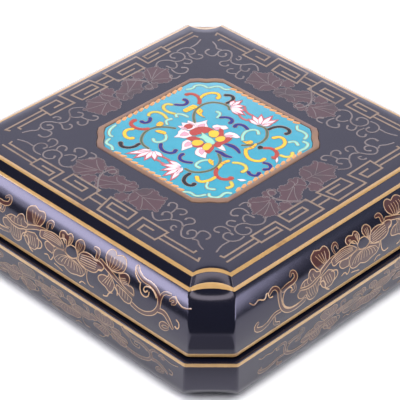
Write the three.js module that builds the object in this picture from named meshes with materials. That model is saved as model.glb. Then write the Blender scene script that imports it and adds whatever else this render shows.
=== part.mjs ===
// Square black lacquer box with a lift-off lid and a cloisonne enamel panel let into the lid.
// Millimetres, +Z up, origin at the middle of the underside. The four sides face +X, +Y, -X and -Y.
// Every piece is a stack of outlines: squares whose corners are cut flat, hollowed or lobed.
import * as THREE from "three";

// Driving dimensions
const deckZ = 51;              // height of the flat top of the lid
const baseHalf = 89;           // half the width of the base
const lidHalf = 86.8;          // half the width of the lid at its lower edge
const deckHalf = 74.4;         // half the width of the deck
const bevelHalf = 78.2;        // half the width at the foot of the bevel round the deck
const bevelDrop = 3.5;         // how far the bevel falls below the deck
const deckRoll = 0.5;          // how far the deck rolls down towards its edge
const deckRollWidth = 7;       // width of that roll
const lidSkirtZ = 22.6;        // lower edge of the lid
const baseRimZ = 21.6;         // top of the base wall, one millimetre below the lid
const lidTopThickness = 5.5;
const lidWall = 5.4;
const baseWall = 8;
const floorThickness = 5.5;
const footRadius = 7.7;        // rounding under the base
const collarHeight = 5.2;      // lip of the base that the lid slides over and sits on
const collarThickness = 2.8;
const rebateWall = 2.6;        // lid wall left where it passes the lip
const clearance = 0.4;

// Corner cuts, each measured along the side
const deckNotch = 11.2;        // hollow quarter-round at the deck
const bevelNotch = 12.3;       // the same at the foot of the bevel
const shoulderCut = 12.8;      // flat cut where the shoulder begins to stand upright
const lidCut = 13.6;
const baseCut = 15;
const footNotch = 15.5;

// Enamel panel and its metal rim
const rimHalf = 38.7;
const rimWidth = 1.9;
const rimStand = 0.6;          // how far the rim stands above the deck
const panelStand = 0.2;
const panelCut = 10.5;
const panelLobe = 0.7;         // the two small lobes on each corner of the panel
const recessDepth = 2;
const fitGap = 0.3;

const cornerSteps = 12;
const shoulderSteps = 9;
const insideSteps = 5;
const footSteps = 6;

const lacquer = new THREE.MeshStandardMaterial({ color: 0x15141b, roughness: 0.12, metalness: 0 });
const gilt = new THREE.MeshStandardMaterial({ color: 0x9a6f4c, roughness: 0.38, metalness: 1 });
const enamel = new THREE.MeshStandardMaterial({ color: 0x4fb4d8, roughness: 0.22, metalness: 0 });

// An outline: half width, length of the corner cut, how hollow the cut is (0 flat, 1 quarter-round), lobes.
function outline({ half, cut, hollow = 0, lobe = 0 }, z) {
  const corner = [];
  for (let step = 0; step <= cornerSteps; step++) {
    const t = step / cornerSteps;
    const turn = t * Math.PI / 2;
    const x = THREE.MathUtils.lerp(cut * t, cut * Math.sin(turn), hollow);
    const y = THREE.MathUtils.lerp(cut * (1 - t), cut * Math.cos(turn), hollow);
    const out = lobe * Math.abs(Math.sin(2 * Math.PI * t)) * Math.SQRT1_2;
    corner.push([half - x + out, half - y + out]);
  }
  const ring = [];
  for (let quarter = 0; quarter < 4; quarter++) {
    const c = [1, 0, -1, 0][quarter];
    const s = [0, 1, 0, -1][quarter];
    for (const [x, y] of corner) ring.push(new THREE.Vector3(c * x - s * y, s * x + c * y, z));
  }
  return ring;
}

// Skins neighbouring outlines together. A stack is capped at both ends, a loop closes on itself.
function skin(rings, closed = false) {
  const count = rings[0].length;
  const position = rings.flat().flatMap((point) => [point.x, point.y, point.z]);
  const index = [];
  const bands = closed ? rings.length : rings.length - 1;
  for (let band = 0; band < bands; band++) {
    const low = band * count;
    const high = ((band + 1) % rings.length) * count;
    for (let k = 0; k < count; k++) {
      const next = (k + 1) % count;
      index.push(low + k, low + next, high + next, low + k, high + next, high + k);
    }
  }
  if (!closed) {
    const cap = (ring, first, flip) => {
      const flat = ring.map((point) => new THREE.Vector2(point.x, point.y));
      for (const [a, b, c] of THREE.ShapeUtils.triangulateShape(flat, [])) {
        index.push(first + a, first + (flip ? c : b), first + (flip ? b : c));
      }
    };
    cap(rings[0], 0, true);
    cap(rings.at(-1), (rings.length - 1) * count, false);
  }
  const geometry = new THREE.BufferGeometry();
  geometry.setAttribute("position", new THREE.Float32BufferAttribute(position, 3));
  geometry.setIndex(index);
  geometry.computeVertexNormals();
  return geometry;
}

// The lid's side is one arc that leaves the bevel at 45 degrees and ends upright at the wall.
const shoulderRadius = (lidHalf - bevelHalf) / (1 - Math.SQRT1_2);
const shoulderEndDrop = bevelDrop + shoulderRadius * Math.SQRT1_2;

// One outline of the lid's side, at the arc's angle above upright.
function shoulder(angle) {
  const share = angle / (Math.PI / 4);
  const half = lidHalf - shoulderRadius * (1 - Math.cos(angle));
  const drop = shoulderEndDrop - shoulderRadius * Math.sin(angle);
  const cut = THREE.MathUtils.lerp(shoulderCut, bevelNotch, share ** 2);
  return outline({ half, cut, hollow: share ** 1.5 }, deckZ - drop);
}

function base() {
  const inside = baseHalf - baseWall;
  const collar = inside + collarThickness;
  const insideCut = baseCut - 4;
  const rings = [];
  for (let step = 0; step <= footSteps; step++) {
    const turn = (step / footSteps) * Math.PI / 2;
    const half = baseHalf - footRadius * (1 - Math.sin(turn));
    const cut = THREE.MathUtils.lerp(footNotch, baseCut, step / footSteps);
    rings.push(outline({ half, cut, hollow: 1 - (step / footSteps) ** 2 }, footRadius * (1 - Math.cos(turn))));
  }
  rings.push(
    outline({ half: baseHalf, cut: baseCut }, baseRimZ - 0.6),
    outline({ half: baseHalf - 0.6, cut: baseCut - 0.3 }, baseRimZ),
    outline({ half: collar, cut: insideCut + 1 }, baseRimZ),
    outline({ half: collar, cut: insideCut + 1 }, baseRimZ + collarHeight - 0.5),
    outline({ half: collar - 0.5, cut: insideCut + 0.8 }, baseRimZ + collarHeight),
    outline({ half: inside, cut: insideCut }, baseRimZ + collarHeight),
    outline({ half: inside, cut: insideCut }, floorThickness + 3),
    outline({ half: inside - 0.9, cut: insideCut }, floorThickness + 0.9),
    outline({ half: inside - 3, cut: insideCut }, floorThickness),
  );
  return skin(rings);
}

function lid() {
  const pocket = lidHalf - rebateWall;
  const rebateZ = baseRimZ + collarHeight + fitGap;
  const insideCut = baseCut - 4;
  const ceiling = deckZ - lidTopThickness;
  const arcCentreZ = deckZ - shoulderEndDrop;
  const innerRadius = shoulderRadius - lidWall;
  const topAngle = Math.asin((ceiling - arcCentreZ) / innerRadius);
  const lowAngle = Math.asin((rebateZ - arcCentreZ) / innerRadius);
  const rings = [];
  for (let step = 0; step <= insideSteps; step++) {
    const angle = THREE.MathUtils.lerp(topAngle, lowAngle, step / insideSteps);
    const half = lidHalf - shoulderRadius + innerRadius * Math.cos(angle);
    rings.push(outline({ half, cut: insideCut + 1 }, arcCentreZ + innerRadius * Math.sin(angle)));
  }
  rings.push(
    outline({ half: pocket, cut: insideCut + 1 }, rebateZ),
    outline({ half: pocket, cut: insideCut + 1 }, lidSkirtZ),
    outline({ half: lidHalf - 0.4, cut: lidCut - 0.2 }, lidSkirtZ),
    outline({ half: lidHalf, cut: lidCut }, lidSkirtZ + 0.5),
  );
  for (let step = 0; step <= shoulderSteps; step++) rings.push(shoulder((step / shoulderSteps) * Math.PI / 4));
  const edge = { half: deckHalf, cut: deckNotch, hollow: 1 };
  const rollStart = { half: deckHalf - deckRollWidth, cut: deckNotch - 1, hollow: 0.6 };
  const rollMiddle = { half: deckHalf - deckRollWidth / 2, cut: deckNotch - 0.4, hollow: 0.9 };
  const recess = { half: rimHalf + fitGap, cut: panelCut, lobe: panelLobe };
  rings.push(
    outline(edge, deckZ - deckRoll),
    outline(rollMiddle, deckZ - deckRoll / 4),
    outline(rollStart, deckZ),
    outline(recess, deckZ),
    outline(recess, deckZ - recessDepth),
  );
  return skin(rings);
}

// The rim is a bead all round the panel, let into the recess.
function panelRim() {
  const middle = rimHalf - rimWidth / 2;
  const footZ = deckZ - recessDepth + fitGap;
  const beadZ = deckZ + rimStand - rimWidth / 2;
  const loop = [[-rimWidth / 2, footZ], [rimWidth / 2, footZ]];
  for (let step = 0; step <= 4; step++) {
    const turn = (step / 4) * Math.PI;
    loop.push([Math.cos(turn) * rimWidth / 2, beadZ + Math.sin(turn) * rimWidth / 2]);
  }
  return skin(loop.map(([out, z]) => outline({ half: middle + out, cut: panelCut, lobe: panelLobe }, z)), true);
}

function enamelPanel() {
  const half = rimHalf - rimWidth - fitGap;
  const shape = { cut: panelCut, lobe: panelLobe };
  return skin([
    outline({ half, ...shape }, deckZ - recessDepth + fitGap),
    outline({ half, ...shape }, deckZ + panelStand - 0.3),
    outline({ half: half - 0.4, ...shape }, deckZ + panelStand),
  ]);
}

const group = new THREE.Group();
const pieces = [
  ["base", base, lacquer],
  ["lid", lid, lacquer],
  ["panel_rim", panelRim, gilt],
  ["enamel_panel", enamelPanel, enamel],
];
for (const [name, build, material] of pieces) {
  const mesh = new THREE.Mesh(build(), material);
  mesh.name = name;
  group.add(mesh);
}

export default group;
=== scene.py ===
import math

import bmesh
import bpy
from mathutils import Matrix, Vector, noise


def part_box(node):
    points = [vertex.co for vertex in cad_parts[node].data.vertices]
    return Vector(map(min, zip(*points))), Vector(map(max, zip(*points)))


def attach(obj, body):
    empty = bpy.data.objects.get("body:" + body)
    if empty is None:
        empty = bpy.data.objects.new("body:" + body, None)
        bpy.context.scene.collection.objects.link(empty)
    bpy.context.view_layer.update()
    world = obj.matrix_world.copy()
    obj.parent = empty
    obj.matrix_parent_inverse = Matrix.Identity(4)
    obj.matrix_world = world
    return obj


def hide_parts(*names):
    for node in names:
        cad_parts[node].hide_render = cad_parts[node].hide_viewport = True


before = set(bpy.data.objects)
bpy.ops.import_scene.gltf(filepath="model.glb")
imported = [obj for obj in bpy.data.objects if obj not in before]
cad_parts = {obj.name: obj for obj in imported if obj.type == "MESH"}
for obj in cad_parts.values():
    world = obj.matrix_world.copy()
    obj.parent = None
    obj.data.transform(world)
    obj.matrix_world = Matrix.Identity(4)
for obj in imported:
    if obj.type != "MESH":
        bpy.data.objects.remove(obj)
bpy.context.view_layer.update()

# A low square lacquer box with a cloisonne panel in its lid. Sizes are in millimetres until a mesh is made.
mm = 0.001
bpy.ops.object.select_all(action="DESELECT")

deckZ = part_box("lid")[1].z / mm
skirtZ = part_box("lid")[0].z / mm
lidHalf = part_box("lid")[1].x / mm
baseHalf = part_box("base")[1].x / mm
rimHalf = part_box("panel_rim")[1].x / mm
quarterTurns = [Matrix.Rotation(k * math.pi / 2, 4, "Z") for k in range(4)]


# Camera

shot = {
    "azimuth": 43.79,         # degrees round from the front
    "elevation": 35.57,
    "roll": 0.94,
    "distance": 826.7,
    "aim": (29.8, -35.5, 51.0),
    "lens": 179.96,
    "sensor": 36,
}


def makeCamera():
    a, e, r = (math.radians(shot[k]) for k in ("azimuth", "elevation", "roll"))
    back = Vector((math.sin(a) * math.cos(e), -math.cos(a) * math.cos(e), math.sin(e)))
    right = Vector((math.cos(a), math.sin(a), 0))
    up = back.cross(right)
    across = math.cos(r) * right + math.sin(r) * up
    upright = -math.sin(r) * right + math.cos(r) * up
    bpy.ops.object.camera_add()
    camera = bpy.context.object
    camera.data.lens = shot["lens"]
    camera.data.sensor_width = shot["sensor"]
    camera.data.clip_start = 0.05
    turn = Matrix((across, upright, back)).transposed().to_4x4()
    camera.matrix_world = Matrix.Translation((Vector(shot["aim"]) + back * shot["distance"]) * mm) @ turn
    bpy.context.scene.camera = camera


print("camera")
makeCamera()


# Shader maths

class Value:
    # wraps a socket, so that node maths reads as an expression
    def __init__(self, shader, socket):
        self.shader = shader
        self.socket = socket

    def maths(self, operation, first, second):
        return self.shader.node("ShaderNodeMath", {"operation": operation}, {0: first, 1: second})[0]

    def __add__(self, other):
        return self.maths("ADD", self, other)

    def __radd__(self, other):
        return self.maths("ADD", other, self)

    def __sub__(self, other):
        return self.maths("SUBTRACT", self, other)

    def __rsub__(self, other):
        return self.maths("SUBTRACT", other, self)

    def __mul__(self, other):
        return self.maths("MULTIPLY", self, other)

    def __rmul__(self, other):
        return self.maths("MULTIPLY", other, self)


class Shader:
    def __init__(self, name, **sockets):
        self.material = bpy.data.materials.new(name)
        self.material.use_nodes = True
        self.tree = self.material.node_tree
        self.surface = self.tree.nodes["Principled BSDF"]
        for socket, value in sockets.items():
            self.set(socket.replace("_", " "), value)

    def fill(self, place, value):
        if isinstance(value, Value):
            self.tree.links.new(value.socket, place)
        else:
            place.default_value = value

    def set(self, socket, value):
        self.fill(self.surface.inputs[socket], value)

    def node(self, kind, settings=None, sockets=None):
        made = self.tree.nodes.new(kind)
        for key, value in (settings or {}).items():
            setattr(made, key, value)
        for key, value in (sockets or {}).items():
            self.fill(made.inputs[key], value)
        return [Value(self, socket) for socket in made.outputs if socket.enabled]

    def place(self):
        return self.node("ShaderNodeTexCoord")[3]      # Object coordinates

    def noise(self, scale, detail):
        sockets = {"Vector": self.place(), "Scale": scale, "Detail": detail}
        return self.node("ShaderNodeTexNoise", {}, sockets)[0]

    def ramp(self, factor, low, high):
        return self.node("ShaderNodeMapRange", {"interpolation_type": "SMOOTHSTEP"},
                         {"Value": factor, "From Min": low, "From Max": high})[0]

    def mix(self, factor, first, second):
        # sockets 6 and 7 are the two colours
        return self.node("ShaderNodeMix", {"data_type": "RGBA"}, {0: factor, 6: first, 7: second})[0]

    def bump(self, height, strength, distance):
        sockets = {"Height": height, "Strength": strength, "Distance": distance}
        self.set("Normal", self.node("ShaderNodeBump", {}, sockets)[0])


tones = {
    "lacquer": ((0.0025, 0.003, 0.007, 1), (0.0045, 0.0045, 0.01, 1)),
    "gilt": ((0.25, 0.15, 0.1, 1), (0.17, 0.1, 0.08, 1)),         # kept, worn
    "floor": ((0.76, 0.76, 0.77, 1), (0.79, 0.79, 0.8, 1)),
    "card": ((0.76, 0.76, 0.77, 1), (0.24, 0.24, 0.26, 1)),       # painted dark reflection, seen only in the near corner's gloss: pale beside the box, dark further out
    "cardFade": (0.262, 0.287),      # metres from the middle of the card, between which it turns pale
}


def lacquerFinish():
    shader = Shader("black_lacquer", IOR=1.6, Specular_Tint=(0.84, 0.8, 1, 1))
    cloud = shader.noise(35, 3)
    speck = shader.ramp(shader.noise(900, 2), 0.68, 0.78)
    shader.set("Base Color", shader.mix(cloud, *tones["lacquer"]))
    shader.set("Roughness", 0.12 + cloud * 0.07 + speck * 0.1)
    shader.bump(shader.noise(22, 3) + speck * 0.02, 0.3, 0.0006)
    return shader.material


def giltFinish():
    shader = Shader("gilt_metal")
    cloud = shader.noise(160, 4)
    worn = shader.ramp(shader.noise(60, 3), 0.5, 0.62)
    shader.set("Base Color", shader.mix(worn, *tones["gilt"]))
    shader.set("Metallic", 0.55 - worn * 0.3)
    shader.set("Roughness", 0.42 + cloud * 0.2)
    shader.bump(cloud, 0.2, 0.0003)
    return shader.material


def enamelFinish(name, pale, deep):
    shader = Shader(name, IOR=1.5, Specular_IOR_Level=0.24)
    cloud = shader.noise(220, 3)
    pit = shader.ramp(shader.noise(1500, 1), 0.74, 0.8)
    shader.set("Base Color", shader.mix(cloud, (*deep, 1), (*pale, 1)))
    shader.set("Roughness", 0.16 + cloud * 0.1 + pit * 0.3)
    shader.bump(cloud * 0.3 - pit * 0.7, 0.25, 0.0002)
    return shader.material


def floorFinish():
    shader = Shader("pale_floor", Roughness=0.9, Specular_IOR_Level=0.2)
    grain = shader.noise(60, 3)
    shader.set("Base Color", shader.mix(grain, *tones["floor"]))
    return shader.material


def cardFinish():
    # the card's colour is a painted dark reflection: pale near the box, dark further out
    shader = Shader("card", Roughness=0.9)
    along = shader.node("ShaderNodeSeparateXYZ", {}, {0: shader.place()})[1]
    dark = 1 - shader.ramp(along, *tones["cardFade"])
    shader.set("Base Color", shader.mix(dark, *tones["card"]))
    return shader.material


lacquer = lacquerFinish()
gilt = giltFinish()
turquoise = enamelFinish("turquoise_enamel", (0.041, 0.245, 0.33), (0.027, 0.2, 0.28))


# Outlines and stacked shells

cornerSteps = 16
cutEnd = {
    "side": 0.9,             # where the rounding starts on the straight side, from the end of the cut
    "bow": (0.16, 0.07),     # how far in x and y its middle stands from the end of the cut
    "ease": 0.64,            # where it meets the cut, in x and y
}


def flatCut(cut, lobed):
    # how far the corner is cut back in x and y along a flat cut; the ends are rounded over on a plain one
    if lobed:
        steps = range(cornerSteps + 1)
        return [(cut * step / cornerSteps, cut * (1 - step / cornerSteps)) for step in steps]
    ease, (bowX, bowY) = cutEnd["ease"], cutEnd["bow"]
    start = [(0, cut + cutEnd["side"]), (bowX, cut + bowY), (ease, cut - ease)]
    between = cornerSteps - 4
    steps = [(cut - 2 * ease) * k / between for k in range(1, between)]
    middle = [(ease + step, cut - ease - step) for step in steps]
    return start + middle + [(y, x) for x, y in reversed(start)]


def outline(half, cut, hollow, z, lobe=0.0):
    # a square whose corners are cut: flat, hollowed to a quarter-round, or lobed
    corner = []
    for step, (flatX, flatY) in enumerate(flatCut(cut, lobe > 0)):
        t = step / cornerSteps
        turn = t * math.pi / 2
        x = flatX + (cut * math.sin(turn) - flatX) * hollow
        y = flatY + (cut * math.cos(turn) - flatY) * hollow
        out = lobe * math.sin(2 * math.pi * t) ** 2 * math.sqrt(0.5)
        corner.append((half - x + out, half - y + out))
    return [turn @ Vector((x, y, z)) * mm for turn in quarterTurns for x, y in corner]


def finishPiece(name, material, slot, *nodes):
    piece = bpy.context.object
    piece.name = piece.data.name = name
    piece.data.materials.clear()
    piece.data.materials.append(material)
    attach(piece, "root")
    if nodes:
        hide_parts(*nodes)
    return piece


sameSpot = 1e-7              # metres, below which two points count as one


def spotKey(point):
    return tuple(round(c / sameSpot) for c in point)


def stackRings(rings, closed=False):
    # a disc, or a hoop for a closed band, is added, then extruded once for every outline
    fill = "NOTHING" if closed else "NGON"
    bpy.ops.mesh.primitive_circle_add(vertices=len(rings[0]), radius=0.1, fill_type=fill)
    piece = bpy.context.object
    bpy.ops.object.mode_set(mode="EDIT")
    mesh = bmesh.from_edit_mesh(piece.data)
    order = sorted(mesh.verts, key=lambda vert: math.atan2(vert.co.y, vert.co.x) % math.tau)
    for vert, point in zip(order, rings[0]):
        vert.co = point
    for here, above in zip(rings, rings[1:] + rings[:1] * closed):
        bmesh.update_edit_mesh(piece.data)
        bpy.ops.mesh.extrude_region_move()
        mesh = bmesh.from_edit_mesh(piece.data)
        target = {spotKey(old): new for old, new in zip(here, above)}
        for vert in mesh.verts:
            if vert.select:
                vert.co = target[spotKey(vert.co)]
    bmesh.update_edit_mesh(piece.data)
    bpy.ops.mesh.select_all(action="SELECT")
    if closed:
        bpy.ops.mesh.remove_doubles(threshold=sameSpot)
    bpy.ops.mesh.normals_make_consistent(inside=False)
    bpy.ops.object.mode_set(mode="OBJECT")
    return piece


edges = {
    "roundFrom": 18,         # degrees between faces, above which an edge is rounded
    "segments": 3,
    "smoothUnder": 30,       # degrees between faces that shade as one
}


def smooth(degrees=edges["smoothUnder"]):
    bpy.ops.object.shade_smooth_by_angle(angle=math.radians(degrees))


def roundEdges(piece, width):
    bevel = piece.modifiers.new("Bevel", "BEVEL")
    bevel.width = width * mm
    bevel.segments = edges["segments"]
    bevel.angle_limit = math.radians(edges["roundFrom"])
    bpy.ops.object.modifier_apply(modifier="Bevel")
    smooth()
    weighted = piece.modifiers.new("Weighted", "WEIGHTED_NORMAL")     # keeps the broad faces flat
    weighted.mode = "FACE_AREA"
    weighted.keep_sharp = True
    bpy.ops.object.modifier_apply(modifier="Weighted")


# Lid

lidSize = {
    "deckHalf": 74.4,
    "bevelHalf": 78.2,
    "bevelDrop": 3.5,
    "deckRoll": 0.5,
    "deckRollWidth": 7,
    "edgeRoll": 0.45,
    "edgeRollWidth": 1.9,
    "deckRings": (0, 0.3, 0.6, 0.9, 1.2, 1.5, 1.9, 2.5, 3.2, 4, 5.5, 7),     # distances in from the edge
    "topThickness": 5.5,
    "wall": 5.4,
    "rebateWall": 2.6,
    "rebateZ": 27.1,
    "deckNotch": 11.2,
    "deckHollow": 0.6,       # of the notch where the roll begins; it grows by as much again to the edge
    "notchTaper": 0.414,     # how much the notch shrinks for each millimetre in from the edge
    "bevelNotch": 12.3,
    "hollowFade": 14,        # the corner turns flat faster the higher this is
    "shoulderCut": 12.8,
    "skirtCut": 13.6,
    "insideCut": 12,
    "shoulderSteps": 24,
    "insideSteps": 8,
    "edgeRadius": 0.3,
    "recessDepth": 2,
    "panelCut": 10.5,
    "panelLobe": 0.45,
    "fitGap": 0.3,
}
shoulderRadius = (lidHalf - lidSize["bevelHalf"]) / (1 - math.sqrt(0.5))
shoulderZ = deckZ - lidSize["bevelDrop"] - shoulderRadius * math.sqrt(0.5)   # where the side stands upright


def shoulderRing(angle, lift=0.0):
    # one outline of the lid's rounded side, at an angle above upright
    share = angle / (math.pi / 4)
    half = lidHalf - shoulderRadius + (shoulderRadius + lift) * math.cos(angle)
    z = shoulderZ + (shoulderRadius + lift) * math.sin(angle)
    cut = lidSize["shoulderCut"] + (lidSize["bevelNotch"] - lidSize["shoulderCut"]) * share ** 2
    return outline(half, cut, share ** lidSize["hollowFade"], z)


def skirtCutAt(z):
    # the corner cut grows a little down the upright part of the side
    share = (shoulderZ - z) / (shoulderZ - skirtZ)
    return lidSize["shoulderCut"] + (lidSize["skirtCut"] - lidSize["shoulderCut"]) * share


def deckHeight(inward):
    # the deck rolls off gently, then quicker at its very edge
    share = 1 - min(1, inward / lidSize["deckRollWidth"])
    edge = 1 - min(1, inward / lidSize["edgeRollWidth"])
    return deckZ - lidSize["deckRoll"] * share ** 2 - lidSize["edgeRoll"] * edge ** 2


def deckRing(inward, lift=0.0):
    # one outline of the deck's rolled edge, a distance in from the edge
    share = 1 - inward / lidSize["deckRollWidth"]
    cut = lidSize["deckNotch"] - lidSize["notchTaper"] * inward
    hollow = min(1, lidSize["deckHollow"] + lidSize["deckHollow"] * share)
    return outline(lidSize["deckHalf"] - inward, cut, hollow, deckHeight(inward) + lift)


def lobed(half, z):
    # one outline of the panel, its rim or its recess
    return outline(half, lidSize["panelCut"], 0, z, lidSize["panelLobe"])


def makeLid():
    size = lidSize
    ceilingZ = deckZ - size["topThickness"]
    insideRadius = shoulderRadius - size["wall"]
    topAngle = math.asin((ceilingZ - shoulderZ) / insideRadius)
    lowAngle = math.asin((size["rebateZ"] - shoulderZ) / insideRadius)
    rings = []
    steps = size["insideSteps"]
    for step in range(steps + 1):
        angle = topAngle + (lowAngle - topAngle) * step / steps
        half = lidHalf - shoulderRadius + insideRadius * math.cos(angle)
        rings.append(outline(half, size["insideCut"], 0, shoulderZ + insideRadius * math.sin(angle)))
    pocket = lidHalf - size["rebateWall"]
    rings.append(outline(pocket, size["insideCut"], 0, size["rebateZ"]))
    rings.append(outline(pocket, size["insideCut"], 0, skirtZ))
    rings.append(outline(lidHalf, size["skirtCut"], 0, skirtZ))
    steps = size["shoulderSteps"]
    rings += [shoulderRing(math.pi / 4 * step / steps) for step in range(steps + 1)]
    rings += [deckRing(inward) for inward in size["deckRings"]]
    rings += [lobed(rimHalf + size["fitGap"], z) for z in (deckZ, deckZ - size["recessDepth"])]
    stackRings(rings)
    roundEdges(finishPiece("lid_shell", lacquer, "black_lacquer", "lid"), size["edgeRadius"])


print("lid")
makeLid()


# Base

baseSize = {
    "rimZ": 21.6,
    "wall": 8,
    "floor": 5.5,
    "floorRadius": 3,
    "footRadius": 7.7,
    "footSteps": 16,
    "collarHeight": 5.2,
    "collarThickness": 2.8,
    "cut": 15,
    "collarCut": 12,
    "insideCut": 11,
    "footNotch": 15.5,
    "footHollow": 0.5,
    "edgeRadius": 0.45,
}


def makeBase():
    size = baseSize
    inside = baseHalf - size["wall"]
    collar = inside + size["collarThickness"]
    rings = []
    for step in range(size["footSteps"] + 1):
        share = step / size["footSteps"]
        turn = math.pi / 2 * share
        half = baseHalf - size["footRadius"] * (1 - math.sin(turn))
        cut = size["footNotch"] + (size["cut"] - size["footNotch"]) * share
        hollow = size["footHollow"] * (1 - share ** 2)
        rings.append(outline(half, cut, hollow, size["footRadius"] * (1 - math.cos(turn))))
    top = size["rimZ"] + size["collarHeight"]
    rings.append(outline(baseHalf, size["cut"], 0, size["rimZ"]))
    rings.append(outline(collar, size["collarCut"], 0, size["rimZ"]))
    rings.append(outline(collar, size["collarCut"], 0, top))
    rings.append(outline(inside, size["insideCut"], 0, top))
    for degrees in range(0, 91, 15):
        turn = math.radians(degrees)
        half = inside - size["floorRadius"] * (1 - math.cos(turn))
        z = size["floor"] + size["floorRadius"] * (1 - math.sin(turn))
        rings.append(outline(half, size["insideCut"], 0, z))
    stackRings(rings)
    roundEdges(finishPiece("base_shell", lacquer, "black_lacquer", "base"), size["edgeRadius"])


print("base")
makeBase()


# Panel rim and enamel ground

rimSize = {
    "width": 1.9,
    "spread": 0.22,      # closes the fitting gap round the rim
    "stand": 0.5,
    "panelStand": 0.2,
    "panelGap": 0.06,
    "smoothUnder": 40,
    # the rounded top edges, as steps in from the side and down from the top
    "outerEdge": ((0, 0.4), (0.15, 0.14), (0.5, 0)),
    "innerEdge": ((0.4, 0), (0.12, 0.12), (0, 0.4)),
    "panelEdge": ((0, 0.35), (0.12, 0.12), (0.5, 0)),
}


def makePanel():
    footZ = deckZ - lidSize["recessDepth"] + lidSize["fitGap"]
    topZ = deckZ + rimSize["stand"]
    outer = rimHalf + rimSize["spread"]
    inner = rimHalf - rimSize["width"]
    loop = [(inner, footZ), (outer, footZ)]
    loop += [(outer - inset, topZ - drop) for inset, drop in rimSize["outerEdge"]]
    loop += [(inner + inset, topZ - drop) for inset, drop in rimSize["innerEdge"]]
    stackRings([lobed(half, z) for half, z in loop], closed=True)
    finishPiece("rim_bead", gilt, "gilt_metal", "panel_rim")
    smooth(rimSize["smoothUnder"])
    half = inner - rimSize["panelGap"]
    topZ = deckZ + rimSize["panelStand"]
    edge = [lobed(half - inset, topZ - drop) for inset, drop in rimSize["panelEdge"]]
    stackRings([lobed(half, footZ), *edge])
    finishPiece("enamel_ground", turquoise, "enamel", "enamel_panel")
    smooth()


print("panel")
makePanel()


# Painted and enamelled lines: curves drawn flat, made a mesh, then laid on the surface

brush = {
    "tipReach": 0.32,        # how far a stroke's soft tip stands out, in widths
    "tipWidth": 0.45,        # how wide it ends there, in widths
    "heights": 5,            # lines and shapes that may cross take turns at these heights
    "heightStep": 0.004,
    "slice": 1.5,            # between the cuts that let a flat drawing follow a rounded side
    "sway": 0.35,            # the unsteadiness of the hand
    "swayRate": 0.06,        # how soon it changes along a line
    "sideSeed": 7.3,         # makes every side's sway its own
    "seed": 1,
}
noise.seed_set(brush["seed"])      # without it the sway would start from the clock and differ at every run


def stagger(k):
    return k % brush["heights"] * brush["heightStep"]


def drawn(name, curves):
    bpy.ops.object.select_all(action="DESELECT")
    for data in curves:
        piece = bpy.data.objects.new(name, data)
        bpy.context.collection.objects.link(piece)
        piece.select_set(True)
    bpy.context.view_layer.objects.active = piece
    bpy.ops.object.convert(target="MESH")
    if len(curves) > 1:
        bpy.ops.object.join()
    piece = bpy.context.object
    piece.name = piece.data.name = name
    return piece


def addSpline(data, points, closed, kind="AUTO", level=0.0):
    spline = data.splines.new("BEZIER")
    spline.use_cyclic_u = closed
    spline.bezier_points.add(len(points) - 1)
    for knot, (x, y, *extra) in zip(spline.bezier_points, points):
        knot.co = (x * mm, y * mm, level * mm)
        # the third value is a stroke's width here, in shares, or marks a corner of a closed shape
        knot.handle_left_type = knot.handle_right_type = "VECTOR" if closed and extra else kind
        knot.radius = 1 if closed else extra[0]


def roundedEnds(line, width):
    # a short narrower point past each end, so that a stroke ends in a soft tip
    line = [(x, y, *(extra or (1,))) for x, y, *extra in line]
    ends = []
    for end, inner in ((line[0], line[1]), (line[-1], line[-2])):
        away = Vector((end[0] - inner[0], end[1] - inner[1])).normalized()
        away = away * width * brush["tipReach"] * end[2]
        ends.append((end[0] + away.x, end[1] + away.y, end[2] * brush["tipWidth"]))
    return [ends[0], *line, ends[1]]


def drawStrokes(name, lines, width, thick, closed=False, steps=4):
    data = bpy.data.curves.new(name, "CURVE")
    data.dimensions = "3D"
    data.resolution_u = steps
    data.bevel_depth = width / 2 * mm
    data.bevel_resolution = 1
    data.use_fill_caps = not closed
    for k, line in enumerate(lines):
        addSpline(data, line if closed else roundedEnds(line, width), closed, level=stagger(k))
    piece = drawn(name, [data])
    for vert in piece.data.vertices:
        top = thick * mm + vert.index % 2 * 1e-9     # a hair apart, so that a flat top keeps its points
        vert.co.z = max(-thick * mm, min(top, vert.co.z))
    return piece


def drawShapes(name, shapes, thick, steps=5, kind="AUTO"):
    curves = []
    for k, shape in enumerate(shapes):
        data = bpy.data.curves.new(name, "CURVE")
        data.dimensions = "2D"
        data.resolution_u = steps
        data.fill_mode = "BOTH"
        data.extrude = (thick + stagger(k)) * mm
        addSpline(data, shape, True, kind)
        curves.append(data)
    return drawn(name, curves)


def mitred(line, width):
    # the edge of a straight-sided stroke with square corners
    points = [Vector(point) for point in line]
    left, right = [], []
    for k, point in enumerate(points):
        into = (point - points[k - 1]).normalized() if k else (points[1] - point).normalized()
        out = (points[k + 1] - point).normalized() if k < len(points) - 1 else into
        side = Vector((-into.y - out.y, into.x + out.x)).normalized()
        reach = width / 2 / side.dot(Vector((-into.y, into.x)))
        left.append(point + side * reach)
        right.append(point - side * reach)
    return [(*spot, 1) for spot in left + right[::-1]]


def sliceAcross(low, high):
    # cuts the newly drawn piece, so that it can bend between two heights
    bpy.ops.object.mode_set(mode="EDIT")
    y = low
    while y < high:
        bpy.ops.mesh.select_all(action="SELECT")
        bpy.ops.mesh.bisect(plane_co=(0, y * mm, 0), plane_no=(0, 1, 0))
        y += brush["slice"]
    bpy.ops.object.mode_set(mode="OBJECT")


def onDeck(x, y, lift):
    return x, y, deckHeight(lidSize["deckHalf"] - max(abs(x), abs(y))) + lift


def onLidSide(x, y, lift):
    # y runs down the side from the foot of the bevel
    down = -y
    angle = math.pi / 4 - down / shoulderRadius
    if angle < 0:
        return x, -lidHalf - lift, shoulderZ + angle * shoulderRadius
    reach = lidHalf - shoulderRadius + (shoulderRadius + lift) * math.cos(angle)
    return x, -reach, shoulderZ + (shoulderRadius + lift) * math.sin(angle)


def onBaseSide(x, y, lift):
    return x, -baseHalf - lift, baseSize["rimZ"] + y


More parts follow.
